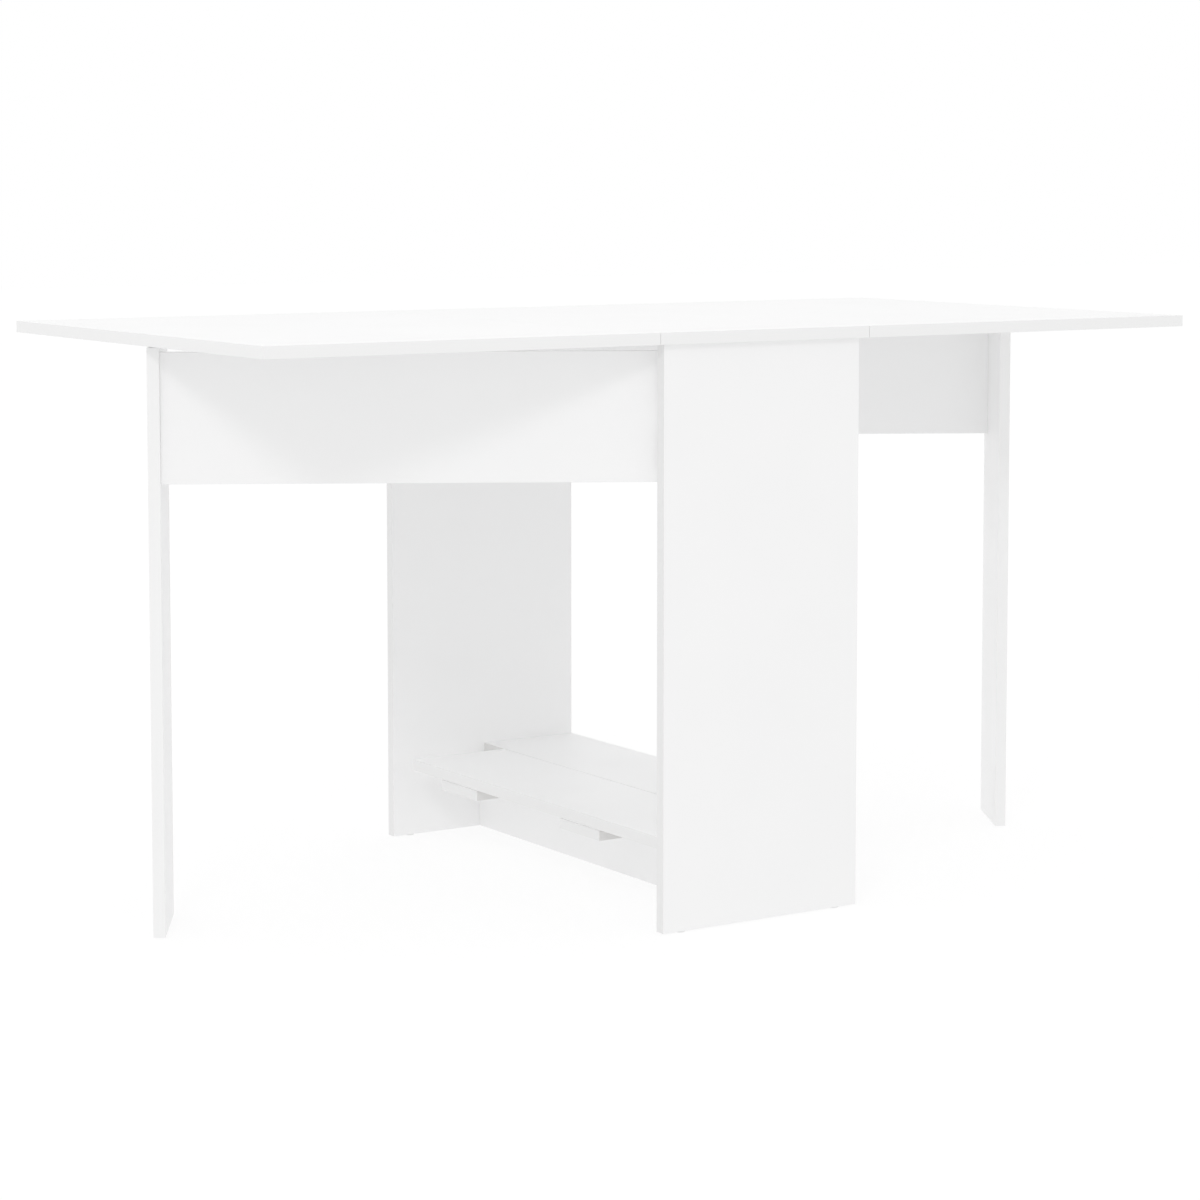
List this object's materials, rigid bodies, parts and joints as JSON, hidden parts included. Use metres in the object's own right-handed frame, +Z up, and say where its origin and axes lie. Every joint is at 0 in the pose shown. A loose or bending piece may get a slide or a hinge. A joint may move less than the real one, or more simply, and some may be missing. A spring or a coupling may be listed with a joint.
{
  "type": "folding dining table",
  "caption": "Rectangular drop-leaf dining table on a narrow two-panel base with a low slatted shelf; board-legged gates swing out to carry the raised leaves.",
  "frame": {"origin": "on the floor, under the middle of the unfolded top", "axes": "+X along the table's length from the left leaf to the right leaf, +Y across the depth from the front end panel to the back one, +Z up"},
  "size_m": [1.4, 0.716, 0.75],
  "materials": {
    "white_board": "white melamine faced chipboard with white edge band, satin",
    "hinge_steel": "zinc plated, satin",
    "screw_steel": "zinc plated",
    "cam_zinc": "die-cast zinc, matt",
    "white_plastic": "moulded, matt",
    "dowel_wood": "bare beech",
    "felt": "pressed felt"
  },
  "bodies": {
    "base": {"top_centre": "white_board", "end_panel_front": "white_board", "end_panel_back": "white_board", "base_stretcher": "white_board", "upper_rail": "white_board", "shelf_board_left": "white_board", "shelf_board_right": "white_board", "shelf_bearer_front": "white_board", "shelf_bearer_back": "white_board", "panel_cam_discs": "cam_zinc", "panel_cam_bolts": "screw_steel", "panel_dowels": "dowel_wood", "rail_cam_discs": "cam_zinc", "rail_cam_bolts": "screw_steel", "rail_dowels": "dowel_wood", "shelf_dowels": "dowel_wood", "bearer_screws": "screw_steel", "shelf_screws": "screw_steel", "panel_glides": "white_plastic", "leaf_hinge_top_plates_left": "hinge_steel", "leaf_hinge_top_screws_left": "screw_steel", "leaf_hinge_pins_left": "hinge_steel", "gate_hinge_panel_plates_left": "hinge_steel", "gate_hinge_panel_screws_left": "screw_steel", "gate_hinge_pins_left": "hinge_steel", "leaf_hinge_top_plates_right": "hinge_steel", "leaf_hinge_top_screws_right": "screw_steel", "leaf_hinge_pins_right": "hinge_steel", "gate_hinge_panel_plates_right": "hinge_steel", "gate_hinge_panel_screws_right": "screw_steel", "gate_hinge_pins_right": "hinge_steel"},
    "left_gate": {"gate_apron_left": "white_board", "gate_leg_left": "white_board", "gate_hinge_apron_plates_left": "hinge_steel", "gate_hinge_apron_screws_left": "screw_steel", "gate_leg_screws_left": "screw_steel", "gate_screw_caps_left": "white_plastic", "gate_dowels_left": "dowel_wood", "leaf_rest_pad_left": "felt", "leg_glides_left": "white_plastic"},
    "left_leaf": {"leaf_left": "white_board", "leaf_hinge_leaf_plates_left": "hinge_steel", "leaf_hinge_leaf_screws_left": "screw_steel"},
    "right_gate": {"gate_apron_right": "white_board", "gate_leg_right": "white_board", "gate_hinge_apron_plates_right": "hinge_steel", "gate_hinge_apron_screws_right": "screw_steel", "gate_leg_screws_right": "screw_steel", "gate_screw_caps_right": "white_plastic", "gate_dowels_right": "dowel_wood", "leaf_rest_pad_right": "felt", "leg_glides_right": "white_plastic"},
    "right_leaf": {"leaf_right": "white_board", "leaf_hinge_leaf_plates_right": "hinge_steel", "leaf_hinge_leaf_screws_right": "screw_steel"}
  },
  "joints": [
    {"name": "left_gate_swing", "type": "hinge", "parent": "base", "child": "left_gate", "pos_m": [-0.135, -0.3317, 0.645], "axis": [0, 0, -1], "range_deg": [0, 60]},
    {"name": "right_gate_swing", "type": "hinge", "parent": "base", "child": "right_gate", "pos_m": [0.135, 0.3317, 0.645], "axis": [0, 0, -1], "range_deg": [0, 60]},
    {"name": "left_leaf_lift", "type": "hinge", "parent": "base", "child": "left_leaf", "pos_m": [-0.1603, 0, 0.7317], "axis": [0, 1, 0], "range_deg": [0, 1.5]},
    {"name": "right_leaf_lift", "type": "hinge", "parent": "base", "child": "right_leaf", "pos_m": [0.1603, 0, 0.7317], "axis": [0, -1, 0], "range_deg": [0, 1.5]}
  ]
}
